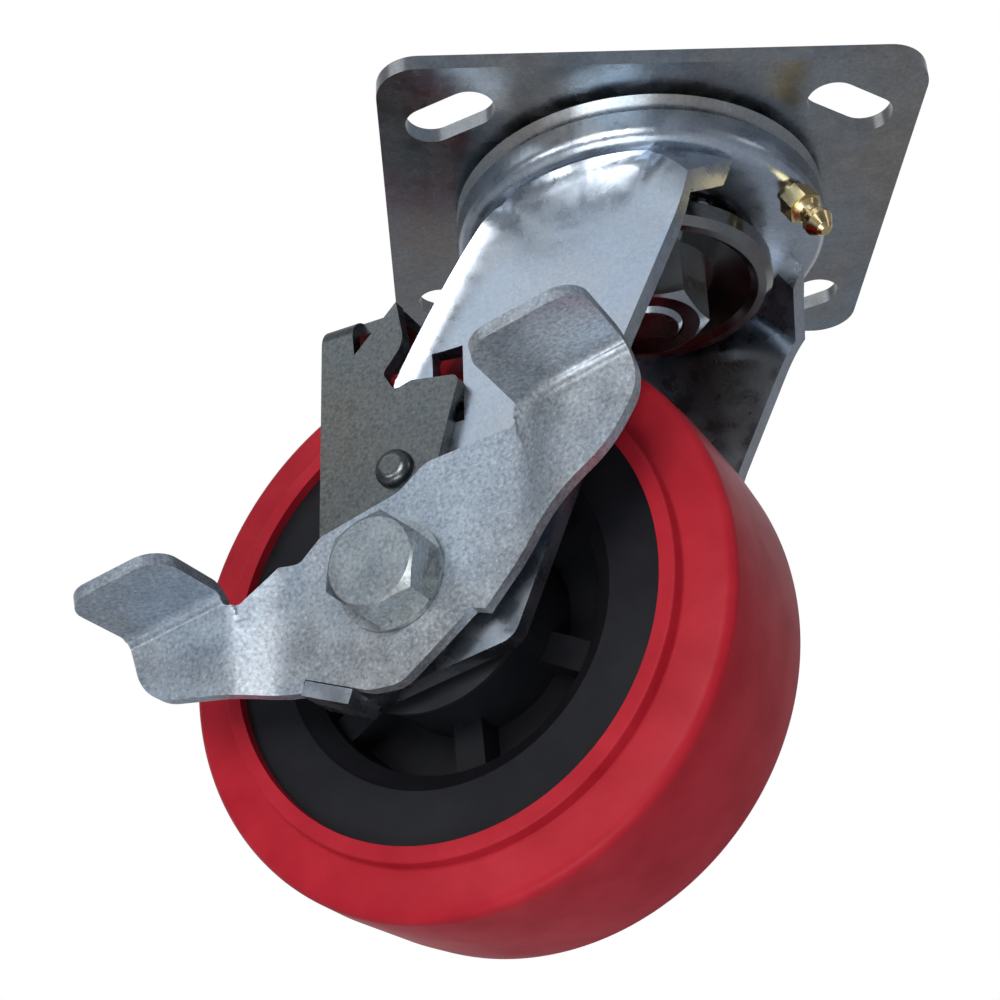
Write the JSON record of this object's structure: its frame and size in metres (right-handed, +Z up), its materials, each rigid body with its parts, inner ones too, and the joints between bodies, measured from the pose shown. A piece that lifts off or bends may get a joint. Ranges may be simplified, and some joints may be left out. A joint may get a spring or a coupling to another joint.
{
  "type": "swivel castor",
  "caption": "Swivel castor with a slotted top plate, a stamped yoke, a tyred wheel and a foot-operated brake lever.",
  "frame": {"origin": "on the swivel axis, in the plane of the top plate's mounting face", "axes": "+Z up, square to the mounting face; X along the plate's long side, Y along its short side; the yoke is swivelled 27.73 degrees clockwise seen from above"},
  "size_m": [0.1762, 0.1271, 0.163],
  "materials": {
    "plate_zinc": "bright zinc plated sheet",
    "yoke_zinc": "bright zinc plated pressing",
    "brake_zinc": "zinc plated stamping",
    "fastener_zinc": "zinc plated fastener",
    "bearing_steel": "ground bearing steel",
    "nipple_brass": "turned brass",
    "core_plastic": "moulded black plastic",
    "tyre_rubber": "cast red elastomer, satin"
  },
  "bodies": {
    "plate": {"top_plate": "plate_zinc", "kingpin": "fastener_zinc", "kingpin_nut": "fastener_zinc", "lower_race": "yoke_zinc", "upper_balls": "bearing_steel", "lower_balls": "bearing_steel"},
    "yoke": {"yoke": "yoke_zinc", "grease_nipple": "nipple_brass", "axle_bolt": "fastener_zinc", "axle_nut": "fastener_zinc", "head_washer": "fastener_zinc", "nut_washer": "fastener_zinc", "axle_sleeve": "bearing_steel", "bearing_inner_rings": "bearing_steel", "dust_covers": "core_plastic"},
    "wheel": {"wheel_core": "core_plastic", "tyre": "tyre_rubber", "bearing_outer_rings": "bearing_steel", "bearing_shields": "bearing_steel"},
    "brake_lever": {"brake_lever": "brake_zinc"},
    "brake_shoe": {"brake_shoe": "brake_zinc"}
  },
  "joints": [
    {"name": "swivel", "type": "hinge", "parent": "plate", "child": "yoke", "pos_m": [0, 0, 0], "axis": [0, 0, 1], "continuous": true},
    {"name": "wheel_spin", "type": "hinge", "parent": "yoke", "child": "wheel", "pos_m": [-0.03673, 0.01931, -0.1], "axis": [0.4653, 0.8851, 0], "continuous": true},
    {"name": "brake_lever_turn", "type": "hinge", "parent": "yoke", "child": "brake_lever", "pos_m": [-0.03673, 0.01931, -0.1], "axis": [0.4653, 0.8851, 0], "range_deg": [0, 20]},
    {"name": "brake_shoe_slide", "type": "slide", "parent": "yoke", "child": "brake_shoe", "axis": [0, 0, 1], "range_m": [0, 0.0012]}
  ],
  "couplings": [
    {"joint": "brake_shoe_slide", "follows": "brake_lever_turn", "m_per_rad": 0.0034377}
  ]
}
